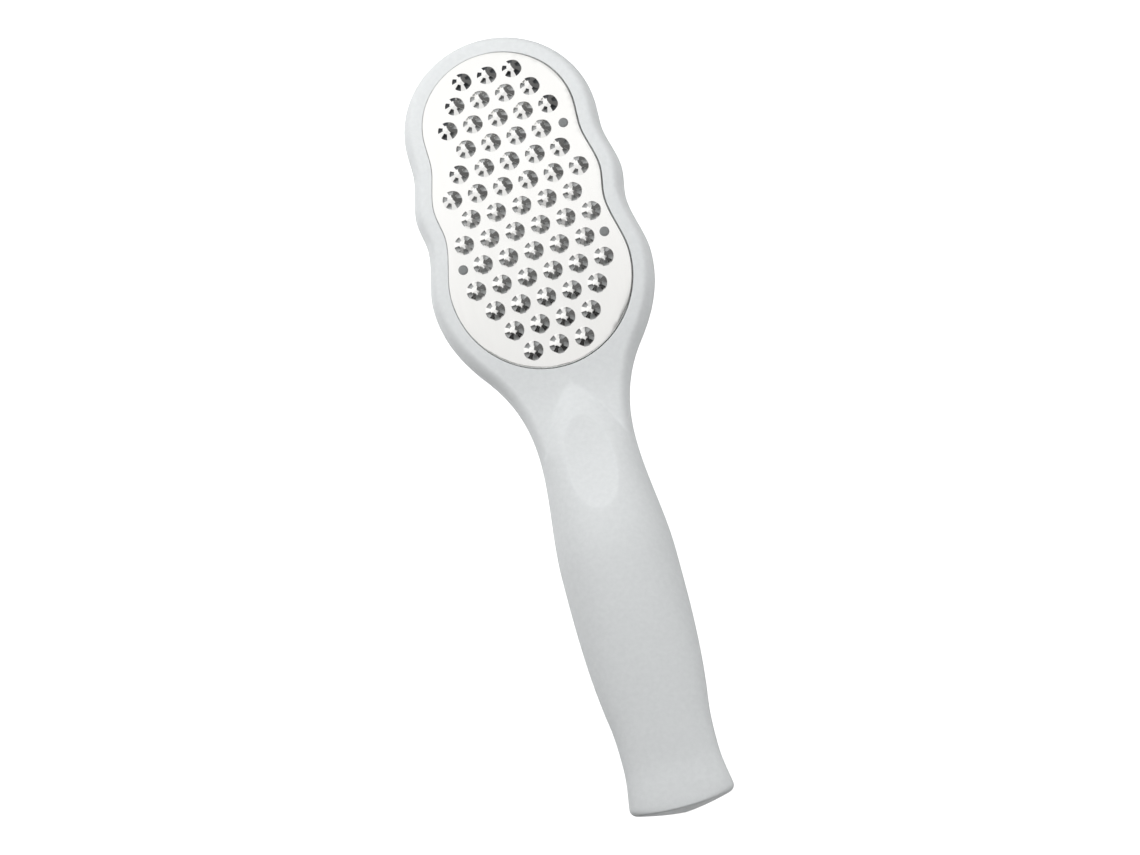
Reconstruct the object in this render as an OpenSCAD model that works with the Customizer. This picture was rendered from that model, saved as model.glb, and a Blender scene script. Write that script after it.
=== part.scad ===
// Foot file: a hand rasp with a crowned, studded steel plate set in a moulded two-shell body.
// The body lies on its flat back. +Z points out of the rasp face and +Y runs to the head's tip.

/* [Head] */
// Thickness of the head at the middle of the plate
head_t = 14; // [11:0.5:18]
// Width across the widest lobes, next to the neck
wide_lobe_w = 64.8; // [58:0.2:72]
// Width across the middle lobes
mid_lobe_w = 61.6; // [57:0.2:66]
// Width across the lobes at the tip, which also rounds the tip
tip_lobe_w = 57; // [52:0.2:62]
// Width at the waist between the middle lobes and the tip
upper_waist_w = 56.6; // [52:0.1:60]
// Width at the waist between the wide and the middle lobes
lower_waist_w = 59.2; // [54:0.1:64]
// Distance from the plate's middle to the tip lobes
tip_lobe_at = 26.2; // [24:0.1:30]
// Distance from the plate's middle to the wide lobes
wide_lobe_at = 21; // [20:0.5:26]
// Width of the rim band round the plate
rim_w = 6.2; // [5:0.1:8]
// Radius of the rim's rounded outer edge, seen from the front
rim_round = 3.3; // [3:0.1:5.4]
// Lengthwise radius of the crowned rasp face
crown_r = 323; // [250:1:600]

/* [Handle] */
// Distance from the plate's middle to the narrowest part of the neck
neck_at = 73; // [70:1:80]
// Distance from the plate's middle to the thickest part of the grip
grip_at = 106; // [100:1:120]
// Distance from the plate's middle to the narrow part above the butt
grip_waist_at = 162; // [154:1:168]
// Distance from the plate's middle to the butt, along the front
butt_at = 176.4; // [173:0.2:190]
// Width of the neck
neck_w = 28; // [24:0.2:31]
// Width of the grip
grip_w = 33; // [29:0.1:38]
// Width of the narrow part above the butt
grip_waist_w = 26.8; // [24:0.1:30]
// Width of the flared butt
butt_w = 29.8; // [26:0.1:33]
// Height of the grip's front crest over the resting plane
grip_h = 19.8; // [17:0.1:23]
// Height of the front crest at the narrow part
grip_waist_h = 18; // [16:0.1:21]
// Height of the front crest at the butt
butt_h = 19.2; // [17:0.1:22]
// Height of the widest line at the butt, where the keel's flanks start
butt_side_h = 14; // [11:0.1:16]
// Length of the oval thumb dish
dish_l = 28.6; // [22:0.2:32]
// Width of the oval thumb dish
dish_w = 14.2; // [10:0.1:16]
// Distance from the plate's middle to the middle of the thumb dish
dish_at = 77.2; // [76:0.1:82]
// How far the butt's back edge reaches past its front edge
butt_lean = 0.5; // [0.2:0.1:2]
// How far the middle of the butt's end face bulges past its corners
butt_bulge = 1.6; // [0:0.1:2.4]
// Radius of the butt's two corners, seen from the front
butt_corner_r = 2; // [1:0.1:3]

/* [Shells] */
// Wall thickness of both shells
wall = 2.2; // [1.6:0.1:2.8]
// Thickness of the floor under the plate
floor_t = 1.8; // [1.4:0.1:2.2]
// Height of the widest line over the resting plane in the head
head_side_h = 6.5; // [5:0.1:8]
// Height of the widest line at the neck
neck_side_h = 4.5; // [4:0.1:6]
// Diameter of the back shell's locating pegs
peg_d = 3; // [2.4:0.1:3.4]
// Running clearance of a peg in its socket, all round
peg_clear = 0.15; // [0.1:0.05:0.3]
// Wall of the front shell's peg sockets
socket_wall = 1.4; // [1:0.1:2]

/* [Rasp plate] */
// Thickness of the steel sheet
sheet_t = 0.5; // [0.4:0.05:0.8]
// Depth of the plate's turned-down edge, over all
skirt_h = 1.6; // [1.3:0.1:2]
// Gap between the plate's edge and the rim
plate_gap = 0.4; // [0.2:0.05:0.6]
// How far the plate stands over the rim
plate_proud = 0.3; // [0.1:0.1:0.8]
// Distance between studs in a row
stud_pitch = 7.5; // [6.5:0.1:9]
// Distance between rows of studs, along the crown
row_step = 6.94; // [6.2:0.02:8]
// Least distance from a stud's centre to the plate's edge
stud_margin = 4.2; // [3.6:0.1:6]
// Diameter of a stud at its foot
stud_d = 5.5; // [4.8:0.1:6]
// Diameter of a stud's flat top
stud_top_d = 1.6; // [1:0.1:2.2]
// Diameter of the closed hub inside a stud's openings
stud_hub_d = 2.7; // [2.4:0.1:3.2]
// Height of a stud over the sheet
stud_h = 1.35; // [1:0.05:1.6]
// Width of the arms between a stud's openings
arm_w = 1.2; // [0.9:0.1:1.4]

/* [Carrier and pins] */
// Thickness of the carrier under the steel sheet
carrier_t = 1.4; // [1:0.1:1.6]
// Gap between the carrier and the plate's turned-down edge
carrier_gap = 0.3; // [0.2:0.05:0.5]
// Diameter of a pin's head
pin_head_d = 2.8; // [2.4:0.1:3.4]
// Height of a pin's head
pin_head_h = 0.35; // [0.2:0.05:0.6]
// Diameter of a pin's shank
pin_d = 1.9; // [1.5:0.1:2.2]
// Gap round a pin's shank
pin_gap = 0.1; // [0.05:0.05:0.2]
// Distance from a pin's centre to the plate's edge
pin_margin = 4.3; // [3.8:0.1:5.5]
// Depth of a pin's shank into its boss, below the carrier
pin_reach = 3; // [2:0.1:4]

/* [Hidden] */
overrun = 1;
round_fn = 48;

// Shares of the way between neighbours at which the head's waists and middle lobes lie, and the
// shoulder and the taper of the handle. The slope shares are multiples of the mean slope there.
upper_waist_share = 0.86;
mid_lobe_share = 0.555;
lower_waist_share = 0.36;
shoulder_share = 0.462;
shoulder_w_share = 0.495;
shoulder_slope_share = 2.2;
taper_share = 0.775;
taper_w_share = 0.23;
taper_slope_share = 2.8;
tongue_share = 0.62;
tongue_tip_share = 0.25;
tongue_power_share = 1.5;
level_share = 0.5;

head_side = tip_lobe_at + wide_lobe_at;
shoulder_at = wide_lobe_at + (neck_at - wide_lobe_at) * shoulder_share;
taper_at = grip_at + (grip_waist_at - grip_at) * taper_share;
crest_at = wide_lobe_at + (neck_at - wide_lobe_at) * tongue_share;
tip_r = tip_lobe_w / 2;
tip_y = tip_lobe_at + tip_r;
plate_tip_r = tip_r - rim_w;
plate_foot_r = wide_lobe_w / 2 - rim_w;
pocket_at = wide_lobe_at + plate_foot_r + plate_gap;
centre_y = (tip_y - butt_at - butt_lean) / 2;

// The half-width of the body as [place along Y, half-width, slope], at its extremes and bends.
function head_place(share) = tip_lobe_at * share - wide_lobe_at * (1 - share);
function mean_slope(w_a, w_b, run) = (w_a - w_b) / 2 / run;
width_stations = [
    [tip_lobe_at, tip_r, 0],
    [head_place(upper_waist_share), upper_waist_w / 2, 0],
    [head_place(mid_lobe_share), mid_lobe_w / 2, 0],
    [head_place(lower_waist_share), lower_waist_w / 2, 0],
    [-wide_lobe_at, wide_lobe_w / 2, 0],
    [-shoulder_at, (neck_w + (wide_lobe_w - neck_w) * shoulder_w_share) / 2,
        shoulder_slope_share * mean_slope(wide_lobe_w, neck_w, neck_at - wide_lobe_at)],
    [-neck_at, neck_w / 2, 0],
    [-grip_at, grip_w / 2, 0],
    [-taper_at, (grip_waist_w + (grip_w - grip_waist_w) * taper_w_share) / 2,
        taper_slope_share * mean_slope(grip_w, grip_waist_w, grip_waist_at - grip_at)],
    [-grip_waist_at, grip_waist_w / 2, 0],
    [-butt_at, butt_w / 2, mean_slope(grip_waist_w, butt_w, butt_at - grip_waist_at)]
];

// A smooth curve through stations that run towards -Y, level beyond the first and the last.
function hermite(a, b, y) =
    let (span = b[0] - a[0], t = (y - a[0]) / span, u = 1 - t)
    a[1] * u * u * (1 + 2 * t) + b[1] * t * t * (3 - 2 * t) + span * t * u * (a[2] * u - b[2] * t);
function stretch(table, y, i = 0) =
    i >= len(table) - 2 || y > table[i + 1][0] ? i : stretch(table, y, i + 1);
function along(table, y) =
    let (c = min(table[0][0], max(table[len(table) - 1][0], y)), i = stretch(table, c))
    hermite(table[i], table[i + 1], c);
function ease(t) = let (c = min(1, max(0, t))) c * c * (3 - 2 * c);

function half_width(y) =
    y > tip_lobe_at ? sqrt(max(0, tip_r * tip_r - pow(y - tip_lobe_at, 2))) : along(width_stations, y);

// Heights along the middle: the crowned face, the top of the rim, which levels out over the neck, the
// handle's front crest, and the widest line, along which the two shells meet.
function crown_z(y) = head_t - crown_r + sqrt(crown_r * crown_r - y * y);
pocket_slope = pocket_at / sqrt(crown_r * crown_r - pocket_at * pocket_at);
level_run = (neck_at - pocket_at) * level_share;
function rim_z(y) =
    let (run = min(level_run, max(0, -y - pocket_at)))
    crown_z(max(y, -pocket_at)) - plate_proud - pocket_slope * run * (1 - run / level_run / 2);
crest_stations = [
    [-crest_at, rim_z(-crest_at), -(grip_h - rim_z(-crest_at)) / (grip_at - crest_at)],
    [-grip_at, grip_h, 0],
    [-grip_waist_at, grip_waist_h, 0],
    [-butt_at, butt_h, 0]
];
side_stations = [
    [tip_y, neck_side_h, 0],
    [0, head_side_h, 0],
    [-neck_at, neck_side_h, 0],
    [-butt_at, butt_side_h, 0]
];
function crest_z(y) = along(crest_stations, y);
function side_z(y) = along(side_stations, y);

// Share of the full height that a rounded edge has reached, a distance d inside it.
function round_off(d, r) = let (u = 1 - min(1, max(0, d / r))) sqrt(1 - u * u);
back_round = wall * 2;
floor_drop = sheet_t + carrier_t;

// Half-width of the handle's crest, which runs out over the neck as a narrowing tongue.
function crest_half(y) =
    let (q = min(1, max(0, (y + neck_at) / (neck_at - crest_at))))
    half_width(y) * (1 - (1 - tongue_tip_share) * pow(q, tongue_power_share));

// The front at x, y, a distance d inside the outline: the flat-topped head and neck, or the
// elliptical crest of the handle where that stands higher. skin is 0 outside and the wall inside,
// and drop is how far the outline is drawn in at the butt's rounded corners.
function front_z(x, y, d, skin, drop = 0) =
    let (
        low = side_z(y),
        flat_top = skin > 0 ? rim_z(y) + plate_proud - floor_drop - floor_t : rim_z(y),
        u = min(1, abs(x) / max(skin, crest_half(y) - skin - drop)),
        crest = y < -crest_at ? (crest_z(y) - skin - low) * sqrt(1 - u * u) : 0
    )
    low + max(0, (flat_top - low) * round_off(d - skin, rim_round - skin), crest);

// The back at x, y: flat under the head, running into the keel, whose flanks straighten towards
// the butt.
grip_power_share = 2;
keel_power_share = 1.05;
function keel_share(u, y) =
    let (
        t = ease((-y - grip_at) / (grip_waist_at - grip_at)),
        power = grip_power_share + (keel_power_share - grip_power_share) * t
    )
    1 - t * pow(u, power) - (1 - t) * (1 - pow(1 - pow(u, power), 1 / power));
function back_z(x, y, d, skin, drop) =
    let (
        low = side_z(y),
        u = min(1, abs(x) / max(skin, half_width(y) - skin - drop)),
        t = ease((-y - crest_at) / (grip_at - crest_at))
    )
    low - (low - skin) * ((1 - t) * round_off(d - skin, back_round) + t * keel_share(u, y));

// How far a rounded corner of radius 1 is drawn in, a share of the way round it.
function round_cut(share) = 1 - sqrt(1 - share * share);

// Stations of the outline, from beside the tip to the butt's rounded corner.
tip_steps = 7;
head_steps = 26;
handle_steps = 17;
tip_turn_share = 0.4;
corner_shares = [0.3, 0.6, 0.85, 1];
butt_edge_r = wall / 4;
outline = concat(
    [for (i = [0:tip_steps - 1]) let (a = 90 * (1 - (i + tip_turn_share) / tip_steps))
        [tip_r * cos(a), tip_lobe_at + tip_r * sin(a)]],
    [for (i = [0:head_steps]) let (y = tip_lobe_at - (tip_lobe_at + neck_at) * i / head_steps)
        [half_width(y), y]],
    [for (i = [1:handle_steps]) let (y = -neck_at - (butt_at - butt_corner_r - neck_at) * i / handle_steps)
        [half_width(y), y]],
    [for (s = corner_shares) let (y = -butt_at + butt_corner_r * (1 - s))
        [half_width(y) - butt_corner_r * round_cut(s), y]]
);
rows = len(outline);
corner_row = rows - len(corner_shares);
function corner_share(i) = i < corner_row ? 0 : corner_shares[i - corner_row];
function corner_cut(i) = butt_corner_r * round_cut(corner_share(i));
function edge_cut(i) =
    butt_edge_r * round_cut(max(0, 1 - butt_corner_r * (1 - corner_share(i)) / butt_edge_r));
function inward(i) =
    i > corner_row - 3 ? [-1, 0] :
    let (
        before = i == 0 ? [-outline[0][0], outline[0][1]] : outline[i - 1],
        d = outline[i + 1] - before
    ) [d[1], -d[0]] / norm(d);

// A row of plan points [x, y, distance inside the outline] runs from the left outline to the right.
ring_shares = [0, 0.05, 0.15, 0.32, 0.57, 1];
mid_cols = 6;
rings = len(ring_shares);
cols = rings * 2 + mid_cols - 1;
function inner_y(y, skin) =
    y > -neck_at ? y : -neck_at + (y + neck_at) * (butt_at - skin - neck_at) / (butt_at - neck_at);
function plan_row(i, skin) =
    let (
        p = outline[i], turn = inward(i), ring_w = rim_w - plate_gap - skin,
        side = [for (s = ring_shares) let (d = skin + ring_w * s, q = p + turn * d)
            [q[0], inner_y(q[1], skin), d]],
        edge = side[rings - 1]
    )
    concat(
        [for (q = side) [-q[0], q[1], q[2]]],
        [for (c = [1:mid_cols - 1]) let (s = 2 * c / mid_cols - 1)
            [edge[0] * s, edge[1], edge[2] + edge[0] * (1 - abs(s))]],
        [for (k = [rings - 1:-1:0]) side[k]]
    );

// The butt's end face bulges in plan and leans out towards the keel.
function at_butt(x, y, z) =
    let (t = ease((-y - grip_waist_at) / (butt_at - grip_waist_at)), u = 2 * x / butt_w)
    [x, y - t * (butt_lean * (1 - z / butt_h) - butt_bulge * u * u), z];

// The grid of one surface, closed by a last row along the widest line at the butt.
function skin_grid(front, skin) =
    [for (i = [0:rows]) let (r = min(i, rows - 1), plan = plan_row(r, skin)) [for (q = plan)
        let (
            low = side_z(q[1]),
            drop = corner_cut(r),
            z = front ? front_z(q[0], q[1], q[2], skin, drop) : back_z(q[0], q[1], q[2], skin, drop),
            cut = edge_cut(r) * (z - low) / (front ? butt_h - butt_side_h : -butt_side_h)
        )
        at_butt(q[0], q[1], i == rows ? low : z - (front ? cut : -cut))]];

// One moulded shell: an outer and an inner surface, joined along the land where the shells meet.
module shell(front) {
    outer = skin_grid(front, 0);
    inner = skin_grid(front, wall);
    count = (rows + 1) * cols;
    last = cols - 1;
    function at(s, i, c) = s * count + (i == rows && (c == 0 || c == last) ? i - 1 : i) * cols + c;
    function patch(a, b, c, d) = [[a, b, c], [a, c, d]];
    function skin_faces(s) = concat(
        [for (i = [0:rows - 1], c = [0:last - 1]) each
            patch(at(s, i, c), at(s, i, c + 1), at(s, i + 1, c + 1), at(s, i + 1, c))],
        [for (k = [0:rings - 3]) each
            patch(at(s, 0, k), at(s, 0, last - k), at(s, 0, last - 1 - k), at(s, 0, k + 1))],
        [for (c = [rings - 1:last - rings + 1]) [at(s, 0, rings - 2), at(s, 0, c + 1), at(s, 0, c)]]
    );
    land = concat(
        [for (i = [0:rows - 1]) each patch(at(0, i, 0), at(0, i + 1, 0), at(1, i + 1, 0), at(1, i, 0))],
        [for (i = [0:rows - 1]) each
            patch(at(0, i + 1, last), at(0, i, last), at(1, i, last), at(1, i + 1, last))],
        [for (c = [0:last - 1]) each
            patch(at(0, rows, c), at(0, rows, c + 1), at(1, rows, c + 1), at(1, rows, c))],
        patch(at(0, 0, last), at(0, 0, 0), at(1, 0, 0), at(1, 0, last))
    );
    function flip(faces) = [for (f = faces) [f[2], f[1], f[0]]];
    function real(faces) = [for (f = faces) if (f[0] != f[1] && f[1] != f[2] && f[2] != f[0]) f];
    faces = real(concat(skin_faces(0), flip(skin_faces(1)), land));
    polyhedron(
        points = concat([for (r = outer) each r], [for (r = inner) each r]),
        faces = front ? faces : flip(faces), convexity = 8
    );
}

// The plate's outline, inset by a distance: an arc round each end and the lobes between them.
arc_steps = 20;
lobe_steps = 16;
function plate_half(y) = half_width(y) - rim_w;
plate_reach = max(tip_lobe_at + plate_tip_r, wide_lobe_at + plate_foot_r);
module plate_outline(inset) {
    side = concat(
        [for (i = [0:arc_steps]) let (a = 90 - 90 * i / arc_steps)
            [(plate_tip_r - inset) * cos(a), tip_lobe_at + (plate_tip_r - inset) * sin(a)]],
        [for (i = [1:lobe_steps - 1]) let (y = tip_lobe_at - (tip_lobe_at + wide_lobe_at) * i / lobe_steps)
            [plate_half(y) - inset, y]],
        [for (i = [0:arc_steps]) let (a = 90 * i / arc_steps)
            [(plate_foot_r - inset) * cos(a), -wide_lobe_at - (plate_foot_r - inset) * sin(a)]]
    );
    count = len(side);
    polygon(concat(side, [for (i = [count - 2:-1:1]) [-side[i][0], side[i][1]]]));
}

// The crown is folded into one flat band for each row of studs. A layer of it lies between two
// depths below the rasp face.
row_turn = row_step / crown_r * 180 / PI;
bands = ceil(plate_reach / row_step);
function crown_line(depth) =
    [for (i = [-bands - 0.5:bands + 0.5]) (crown_r - depth) / cos(row_turn / 2)
        * [sin(i * row_turn), cos(i * row_turn)] + [0, head_t - crown_r]];
function backwards(list) = [for (i = [len(list) - 1:-1:0]) list[i]];
module crown_layer(top, bottom, inset) {
    intersection() {
        linear_extrude(2 * head_t) plate_outline(inset);
        rotate([90, 0, 90]) linear_extrude(2 * head_side, center = true)
            polygon(concat(crown_line(top), backwards(crown_line(bottom))));
    }
}
module on_row(i) {
    translate([0, 0, head_t - crown_r]) rotate([-i * row_turn, 0, 0]) translate([0, 0, crown_r]) children();
}
function row_y(i) = crown_r * sin(i * row_turn);

// The pins hold the plate beside three of its rows. The studs fill each row as far as the plate's
// edge and the pins allow, in even and odd rows by turns.
pin_seats = [[3, 1], [-2, 1], [-2, -1]];
function pin_x(i) = plate_half(row_y(i)) - pin_margin;
stud_rows = floor((min(tip_lobe_at + plate_tip_r, wide_lobe_at + plate_foot_r) - stud_margin) / row_step);
pin_land = (stud_d + pin_head_d) / 2 + sheet_t;
function end_half(y) =
    y < -wide_lobe_at ? sqrt(max(0, pow(plate_foot_r, 2) - pow(y + wide_lobe_at, 2))) :
    y > tip_lobe_at ? sqrt(max(0, pow(plate_tip_r, 2) - pow(y - tip_lobe_at, 2))) : plate_half(y);
function row_xs(i) =
    let (
        odd = i % 2 == 0 ? 0 : 1 / 2,
        reach = floor((end_half(row_y(i)) - stud_margin) / stud_pitch - odd)
    )
    [for (k = [-reach - odd:1:reach + odd]) k * stud_pitch];
function clear_of_pins(i, x) =
    len([for (p = pin_seats) if (p[0] == i && abs(x - p[1] * pin_x(i)) < pin_land) p]) == 0;
module at_studs() {
    for (i = [-stud_rows:stud_rows], x = row_xs(i))
        if (clear_of_pins(i, x)) on_row(i) translate([x, 0, 0]) rotate(i > 0 ? 90 : -90) children();
}
module at_pins() {
    for (p = pin_seats) on_row(p[0]) translate([p[1] * pin_x(p[0]), 0, 0]) children();
}

// A stud is a hollow cone with a small flat top. Five openings round its hub leave five arms.
stud_r = stud_d / 2;
stud_top_r = stud_top_d / 2;
stud_hub_r = stud_hub_d / 2;
arms = 5;
opening_turn = 360 / arms - arm_w / (stud_r + stud_hub_r) * 2 * 180 / PI;
opening_edge = sheet_t / 4;
module stud_body() rotate_extrude($fn = round_fn)
    polygon([[0, -sheet_t / 2], [stud_r, -sheet_t / 2], [stud_r, 0], [stud_top_r, stud_h], [0, stud_h]]);
module stud_hollow() rotate_extrude($fn = round_fn) polygon([
    [0, -sheet_t - overrun], [stud_r, -sheet_t - overrun], [stud_r, -sheet_t],
    [stud_top_r, stud_h - sheet_t], [0, stud_h - sheet_t]
]);
module stud_openings() for (k = [0:arms - 1])
    rotate(k * 360 / arms - opening_turn / 2) rotate_extrude(angle = opening_turn, $fn = round_fn)
        translate([stud_hub_r, -sheet_t * 2])
            square([stud_r - stud_hub_r - opening_edge, stud_h + sheet_t * 4]);

module pin_hole(depth) translate([0, 0, -depth])
    cylinder(d = pin_d + 2 * pin_gap, h = depth + overrun, $fn = round_fn);

module rasp_plate() color("gainsboro") centred() difference() {
    union() {
        difference() {
            crown_layer(0, skirt_h, 0);
            crown_layer(sheet_t, skirt_h + overrun, sheet_t);
        }
        at_studs() stud_body();
    }
    at_studs() stud_hollow();
    at_studs() stud_openings();
    at_pins() pin_hole(sheet_t + overrun);
}

module plate_carrier() color("gray") centred() difference() {
    crown_layer(sheet_t, floor_drop, sheet_t + carrier_gap);
    at_pins() pin_hole(floor_drop + overrun);
}

// A pin has a low crowned head and a shank that is pressed into a boss under the plate's floor.
module plate_pins() color("dimgray") centred() at_pins() rotate_extrude($fn = round_fn) polygon([
    [0, -floor_drop - pin_reach], [pin_d / 2, -floor_drop - pin_reach], [pin_d / 2, 0],
    [pin_head_d / 2, 0], [pin_head_d / 2, pin_head_h / 2], [pin_d / 2, pin_head_h],
    [0, pin_head_h]
]);

// Pegs on the back shell's middle line stand in sockets of the front shell.
peg_places = [tip_lobe_at / 2, -wide_lobe_at, -grip_at, -taper_at];
function peg_roof(y) = front_z(0, y, head_side, wall);
boss_d = pin_d + 2 * (pin_gap + socket_wall);
boss_depth = floor_drop + pin_reach + socket_wall;
socket_d = peg_d + 2 * (peg_clear + socket_wall);

// The thumb dish is a scoop by a large sphere. It meets the crest at the oval's two ends, and its
// radius gives the oval its width.
dish_top = [-dish_at + dish_l / 2, crest_z(-dish_at + dish_l / 2)];
dish_foot = [-dish_at - dish_l / 2, crest_z(-dish_at - dish_l / 2)];
dish_chord = norm(dish_top - dish_foot);
dish_middle = (dish_top + dish_foot) / 2;
dish_hump = crest_z(-dish_at) - dish_middle[1];
crest_across_r = pow(half_width(-dish_at), 2) / (crest_z(-dish_at) - side_z(-dish_at));
dish_r = (pow(dish_chord / 2, 2) - pow(dish_w / 2, 2))
    / (pow(dish_w / 2, 2) / crest_across_r - dish_hump * 2);
dish_rise = atan((dish_foot[1] - dish_top[1]) / dish_l);
dish_lift = sqrt(dish_r * dish_r - dish_chord * dish_chord / 4);
dish_fn = 240;

module front_shell() color("whitesmoke") centred() difference() {
    union() {
        shell(true);
        at_pins() translate([0, 0, -boss_depth])
            cylinder(d = boss_d, h = boss_depth - floor_drop - floor_t / 2, $fn = round_fn);
        for (y = peg_places) let (low = side_z(y))
            translate([0, y, low]) cylinder(d = socket_d, h = peg_roof(y) + wall / 2 - low, $fn = round_fn);
    }
    difference() {
        linear_extrude(2 * head_t) plate_outline(-plate_gap);
        crown_layer(floor_drop, head_t + overrun, -plate_gap - overrun);
        translate([0, 0, -overrun]) linear_extrude(overrun + crown_z(plate_reach) - floor_drop - overrun)
            plate_outline(-plate_gap - overrun);
    }
    at_pins() pin_hole(floor_drop + pin_reach + pin_gap);
    for (y = peg_places) let (low = side_z(y) - overrun)
        translate([0, y, low]) cylinder(d = peg_d + 2 * peg_clear, h = peg_roof(y) - low, $fn = round_fn);
    translate([0, dish_middle[0], dish_middle[1]]) rotate([-dish_rise, 0, 0])
        translate([0, 0, dish_lift]) sphere(r = dish_r, $fn = dish_fn);
}

module back_shell() color("white") centred() union() {
    shell(false);
    for (y = peg_places) translate([0, y, wall / 2])
        cylinder(d = peg_d, h = peg_roof(y) - wall / 2 - peg_clear, $fn = round_fn);
}

// The origin lies on the resting plane, under the middle of the whole length.
module centred() translate([0, -centre_y, 0]) children();

front_shell();
back_shell();
rasp_plate();
plate_carrier();
plate_pins();
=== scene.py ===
# %% [markdown]
# # A foot file with a studded steel plate
# The real object is a hand tool: a two-part plastic body, a crowned steel plate with 61 punched
# studs, a grey carrier that shows through their openings, and three pins that hold the plate.
# The CAD model is loaded first, as a fixed frame. Each visible piece is then either built again
# from the same sizes with finer curves, or kept from the CAD and given a finish.

import math

import bpy
import bmesh
import numpy as np
from mathutils import Matrix, Vector
from mathutils.geometry import delaunay_2d_cdt


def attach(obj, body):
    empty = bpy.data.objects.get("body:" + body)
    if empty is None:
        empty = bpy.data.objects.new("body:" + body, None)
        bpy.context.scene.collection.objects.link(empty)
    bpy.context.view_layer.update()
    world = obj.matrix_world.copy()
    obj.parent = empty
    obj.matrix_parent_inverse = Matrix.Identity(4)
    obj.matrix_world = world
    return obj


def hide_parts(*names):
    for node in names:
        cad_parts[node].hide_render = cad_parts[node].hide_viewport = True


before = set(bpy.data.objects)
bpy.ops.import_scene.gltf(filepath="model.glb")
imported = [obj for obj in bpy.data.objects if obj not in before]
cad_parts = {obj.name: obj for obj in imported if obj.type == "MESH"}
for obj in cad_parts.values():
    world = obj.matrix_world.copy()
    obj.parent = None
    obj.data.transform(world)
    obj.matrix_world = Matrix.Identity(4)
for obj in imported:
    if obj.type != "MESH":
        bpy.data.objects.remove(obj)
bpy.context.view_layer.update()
print("CAD nodes:", sorted(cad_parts))

# %% [markdown]
# ## The camera
# The photograph looks down on the file from beyond its butt, 12 degrees off the vertical, with the
# tool turned 15 degrees in the picture. The angles and the place are measured from the outline and
# from the rows of studs, so the camera is written as that chain of turns, starting from the middle
# of the plate.

# %% Camera
def put_in_scene(name, data):
    """A new object in the scene."""
    made = bpy.data.objects.new(name, data)
    bpy.context.scene.collection.objects.link(made)
    return made


MM = 0.001
PLATE_MIDDLE = Matrix.Translation((0, 61.1 * MM, 14 * MM))
CAMERA_ROLL = math.radians(15.29)
CAMERA_LEAN = math.radians(-0.96)
CAMERA_TILT = math.radians(-11.91)
CAMERA_OFFSET = Vector((-13.86, 63.49, -700.05)) * MM
FOCAL_PX = 2450
IMAGE_W_PX = 1140

camera_data = bpy.data.cameras.new("photo_camera")
camera_data.sensor_width = 36
camera_data.lens = FOCAL_PX / IMAGE_W_PX * camera_data.sensor_width
camera = put_in_scene("photo_camera", camera_data)
camera.matrix_world = (
    PLATE_MIDDLE
    @ Matrix.Rotation(-CAMERA_TILT, 4, "X")
    @ Matrix.Rotation(-CAMERA_LEAN, 4, "Y")
    @ Matrix.Rotation(-CAMERA_ROLL, 4, "Z")
    @ Matrix.Translation(-CAMERA_OFFSET)
)
bpy.context.scene.camera = camera
print("camera at", [round(v, 3) for v in camera.matrix_world.translation], "lens", camera_data.lens)

# %% [markdown]
# ## The body's curves
# A moulded body like this is drawn from a few curves: its outline seen from above, the crown of its
# head, the crest along the handle, and the line where its two halves meet. Each curve here passes
# smoothly through stations, which hold a place along the tool, a value and a slope. The sizes are
# the CAD model's, in millimetres, with the plate's middle at zero and the tip towards +Y.

# %% Sizes of the body
HEAD_T = 14
CROWN_R = 323
RIM_W = 6.2
TIP_LOBE_AT = 26.2
WIDE_LOBE_AT = 21
NECK_AT = 73
GRIP_AT = 106
GRIP_WAIST_AT = 162
BUTT_AT = 176.4
TIP_LOBE_W = 57
UPPER_WAIST_W = 56.6
MID_LOBE_W = 61.6
LOWER_WAIST_W = 59.2
WIDE_W = 64.8
NECK_W = 28
GRIP_W = 33
WAIST_W = 26.8
BUTT_W = 29.8
GRIP_H = 19.8
WAIST_H = 18
BUTT_H = 19.2
HEAD_SIDE_H = 6.5
NECK_SIDE_H = 4.5
BUTT_SIDE_H = 14
BUTT_LEAN = 0.5
BUTT_BULGE = 1.6
WALL = 2.2
PLATE_GAP = 0.4
PLATE_PROUD = 0.3
SHEET_T = 0.5
CARRIER_T = 1.4

# Places and widths as shares of the way between neighbours, slopes as multiples of the mean slope.
UPPER_WAIST_SHARE = 0.86
MID_LOBE_SHARE = 0.555
LOWER_WAIST_SHARE = 0.36
SHOULDER_SHARE = 0.462
SHOULDER_W_SHARE = 0.495
SHOULDER_SLOPE = 2.2
TAPER_SHARE = 0.775
TAPER_W_SHARE = 0.23
TAPER_SLOPE = 2.8
TONGUE_SHARE = 0.62

TIP_R = TIP_LOBE_W / 2
TIP_Y = TIP_LOBE_AT + TIP_R
CENTRE_Y = (TIP_Y - BUTT_AT - BUTT_LEAN) / 2
CREST_AT = WIDE_LOBE_AT + (NECK_AT - WIDE_LOBE_AT) * TONGUE_SHARE
POCKET_AT = WIDE_LOBE_AT + WIDE_W / 2 - RIM_W + PLATE_GAP
SHOULDER_AT = WIDE_LOBE_AT + (NECK_AT - WIDE_LOBE_AT) * SHOULDER_SHARE
TAPER_AT = GRIP_AT + (GRIP_WAIST_AT - GRIP_AT) * TAPER_SHARE
TINY = 1e-6
print("whole length:", round(TIP_Y + BUTT_AT + BUTT_LEAN, 1), "mm")


def head_place(share):
    """A place in the head, as a share of the way from the wide lobes to the tip lobes."""
    return TIP_LOBE_AT * share - WIDE_LOBE_AT * (1 - share)


def mean_slope(w_a, w_b, run):
    """The slope of a half-width that goes from one width to another."""
    return (w_a - w_b) / 2 / run


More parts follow.
